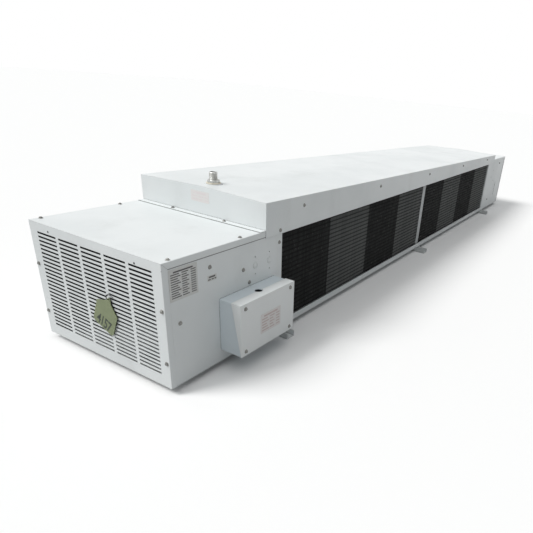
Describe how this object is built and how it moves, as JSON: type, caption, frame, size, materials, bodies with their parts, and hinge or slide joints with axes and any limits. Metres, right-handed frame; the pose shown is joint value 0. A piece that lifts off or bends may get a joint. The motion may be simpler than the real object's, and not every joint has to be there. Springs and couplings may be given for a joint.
{
  "type": "walk-in unit cooler",
  "caption": "Low-profile ceiling unit cooler for a walk-in cold room: finned coil along one side, ducted axial fans along the other, louvred end compartment and a sloping drain pan.",
  "frame": {"origin": "centre of the hanger bolt pattern, on the underside of the hanger rails", "axes": "+X along the coil from the louvred end to the plain end, +Y from the coil face to the fan side, +Z away from the ceiling face of the hanger rails, which is up as stored with the drain pan on top and down in use"},
  "size_m": [3.3918, 0.6674, 0.5018],
  "materials": {
    "white_paint": "semi-gloss pale grey white powder coat",
    "pan_paint": "semi-gloss white powder coat, lightly weathered",
    "box_paint": "satin white powder coat",
    "rail_metal": "mill finish",
    "galvanised": "galvanised",
    "fin_black": "dark coated fins",
    "copper": "dull copper tube",
    "blade_aluminium": "pressed aluminium",
    "guard_black": "black coated wire",
    "motor_black": "satin black enamel",
    "gasket": "cream rubber",
    "screw_zinc": "zinc plated",
    "terminal_black": "matt moulded",
    "tag_green": "matt olive green polyurethane",
    "tie_black": "matt"
  },
  "bodies": {
    "cabinet": {"cabinet_screws": "screw_zinc", "ceiling_panel": "white_paint", "coil_fins_far": "fin_black", "coil_fins_near": "fin_black", "coil_hairpins": "copper", "coil_plate_centre": "galvanised", "coil_plate_far": "galvanised", "coil_plate_near": "galvanised", "drain_gasket": "gasket", "drain_locknut": "galvanised", "drain_nipple": "galvanised", "drain_pan": "pan_paint", "end_cover_far": "white_paint", "end_cover_near": "white_paint", "end_cover_screws": "screw_zinc", "fan_baffle_1": "galvanised", "fan_baffle_2": "galvanised", "fan_baffle_3": "galvanised", "fan_guard_1": "guard_black", "fan_guard_2": "guard_black", "fan_guard_3": "guard_black", "fan_guard_4": "guard_black", "fan_motor_1": "motor_black", "fan_motor_2": "motor_black", "fan_motor_3": "motor_black", "fan_motor_4": "motor_black", "fan_panel": "white_paint", "hanger_rail_far": "rail_metal", "hanger_rail_middle": "rail_metal", "hanger_rail_near": "rail_metal", "junction_box": "box_paint", "junction_box_cover": "box_paint", "junction_box_screws": "screw_zinc", "liquid_header": "copper", "motor_bracket_1": "galvanised", "motor_bracket_2": "galvanised", "motor_bracket_3": "galvanised", "motor_bracket_4": "galvanised", "pan_screws": "screw_zinc", "rear_panel_far": "white_paint", "rear_panel_near": "white_paint", "side_panel_far": "white_paint", "side_panel_near": "white_paint", "suction_header": "copper", "tag_tie": "tie_black", "terminal_block": "terminal_black", "top_cover_far": "white_paint", "top_cover_near": "white_paint"},
    "fan_1": {"fan_blade_1": "blade_aluminium"},
    "fan_2": {"fan_blade_2": "blade_aluminium"},
    "fan_3": {"fan_blade_3": "blade_aluminium"},
    "fan_4": {"fan_blade_4": "blade_aluminium"},
    "tag": {"hang_tag": "tag_green"}
  },
  "joints": [
    {"name": "fan_1_spin", "type": "hinge", "parent": "cabinet", "child": "fan_1", "pos_m": [-0.9144, 0.2347, 0.1872], "axis": [0, 1, 0], "continuous": true},
    {"name": "fan_2_spin", "type": "hinge", "parent": "cabinet", "child": "fan_2", "pos_m": [-0.3048, 0.2347, 0.1872], "axis": [0, 1, 0], "continuous": true},
    {"name": "fan_3_spin", "type": "hinge", "parent": "cabinet", "child": "fan_3", "pos_m": [0.3048, 0.2347, 0.1872], "axis": [0, 1, 0], "continuous": true},
    {"name": "fan_4_spin", "type": "hinge", "parent": "cabinet", "child": "fan_4", "pos_m": [0.9144, 0.2347, 0.1872], "axis": [0, 1, 0], "continuous": true},
    {"name": "tag_swing", "type": "hinge", "parent": "cabinet", "child": "tag", "pos_m": [-1.6982, -0.05602, 0.2245], "axis": [1, 0, 0], "range_deg": [-110, 60]}
  ]
}
